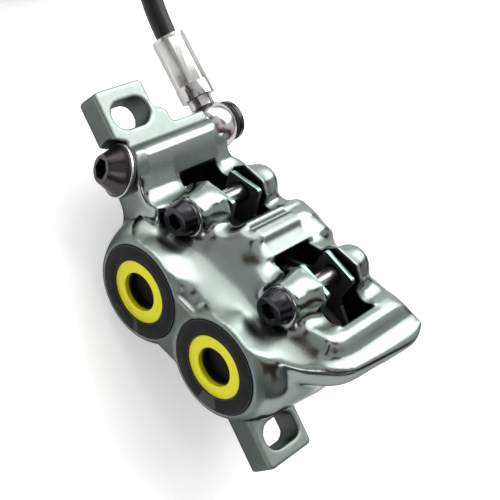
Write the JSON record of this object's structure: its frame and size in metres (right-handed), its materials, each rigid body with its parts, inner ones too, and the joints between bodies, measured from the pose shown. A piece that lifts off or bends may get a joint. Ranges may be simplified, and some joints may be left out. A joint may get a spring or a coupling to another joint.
{
  "type": "bicycle disc brake caliper",
  "caption": "Hydraulic bicycle disc brake caliper with opposed pistons, hanging pads, slotted ears for post mounts, a bleed screw and a banjo with its hose.",
  "frame": {"origin": "halfway between the two ear slots, on the face that sits on the posts", "axes": "+X along the line of the slots towards the ear by the low end, +Y across the rotor from the capped side to the blind side, +Z along the mounting bolts, away from the posts"},
  "size_m": [0.1802, 0.0665, 0.0475],
  "materials": {
    "forged": "forged aluminium, mirror polished on the sculpted faces and fine milled on the flats",
    "cap": "dark anodised",
    "ring": "bright yellow anodised",
    "seal": "smooth black",
    "piston": "smooth dark resin",
    "magnet": "plated",
    "plate": "black coating, bare pale green edges",
    "lining": "pressed friction compound",
    "bolt": "black oxide, worn at the rims",
    "bleed": "dark oxide",
    "washer": "bright",
    "banjo": "polished, a little smoked",
    "sleeve": "bright, pressed flats",
    "brass": "turned",
    "hose": "satin black jacket",
    "strap": "black",
    "nut": "black anodised"
  },
  "bodies": {
    "caliper": {"caliper_body": "forged", "bore_cap_upper": "cap", "bore_cap_lower": "cap", "cap_ring_upper": "ring", "cap_ring_lower": "ring", "cap_seals": "seal", "piston_seals": "seal", "pad_bolts": "bolt", "bleed_screw": "bleed", "bleed_washer": "washer", "bleed_seal": "seal", "banjo_fitting": "banjo", "banjo_bolt": "bolt", "banjo_inner_seal": "washer", "banjo_outer_seal": "seal", "crimp_sleeve": "sleeve", "hose_barb": "brass", "brake_hose": "hose", "hose_coil": "hose", "coil_tie": "strap", "hose_nut": "nut", "hose_olive": "brass", "hose_insert": "brass"},
    "piston_and_pad_near_upper": {"piston_near_upper": "piston", "magnet_near_upper": "magnet", "pad_plate_near_upper": "plate", "pad_lining_near_upper": "lining"},
    "piston_and_pad_near_lower": {"piston_near_lower": "piston", "magnet_near_lower": "magnet", "pad_plate_near_lower": "plate", "pad_lining_near_lower": "lining"},
    "piston_and_pad_far_upper": {"piston_far_upper": "piston", "magnet_far_upper": "magnet", "pad_plate_far_upper": "plate", "pad_lining_far_upper": "lining"},
    "piston_and_pad_far_lower": {"piston_far_lower": "piston", "magnet_far_lower": "magnet", "pad_plate_far_lower": "plate", "pad_lining_far_lower": "lining"}
  },
  "joints": [
    {"name": "piston_near_upper_slide", "type": "slide", "parent": "caliper", "child": "piston_and_pad_near_upper", "axis": [0, 1, 0], "range_m": [0, 0.0011]},
    {"name": "piston_near_lower_slide", "type": "slide", "parent": "caliper", "child": "piston_and_pad_near_lower", "axis": [0, 1, 0], "range_m": [0, 0.0011]},
    {"name": "piston_far_upper_slide", "type": "slide", "parent": "caliper", "child": "piston_and_pad_far_upper", "axis": [0, -1, 0], "range_m": [0, 0.0011]},
    {"name": "piston_far_lower_slide", "type": "slide", "parent": "caliper", "child": "piston_and_pad_far_lower", "axis": [0, -1, 0], "range_m": [0, 0.0011]}
  ],
  "couplings": [
    {"joint": "piston_near_lower_slide", "follows": "piston_near_upper_slide", "ratio": 1},
    {"joint": "piston_far_upper_slide", "follows": "piston_near_upper_slide", "ratio": 1},
    {"joint": "piston_far_lower_slide", "follows": "piston_near_upper_slide", "ratio": 1}
  ]
}
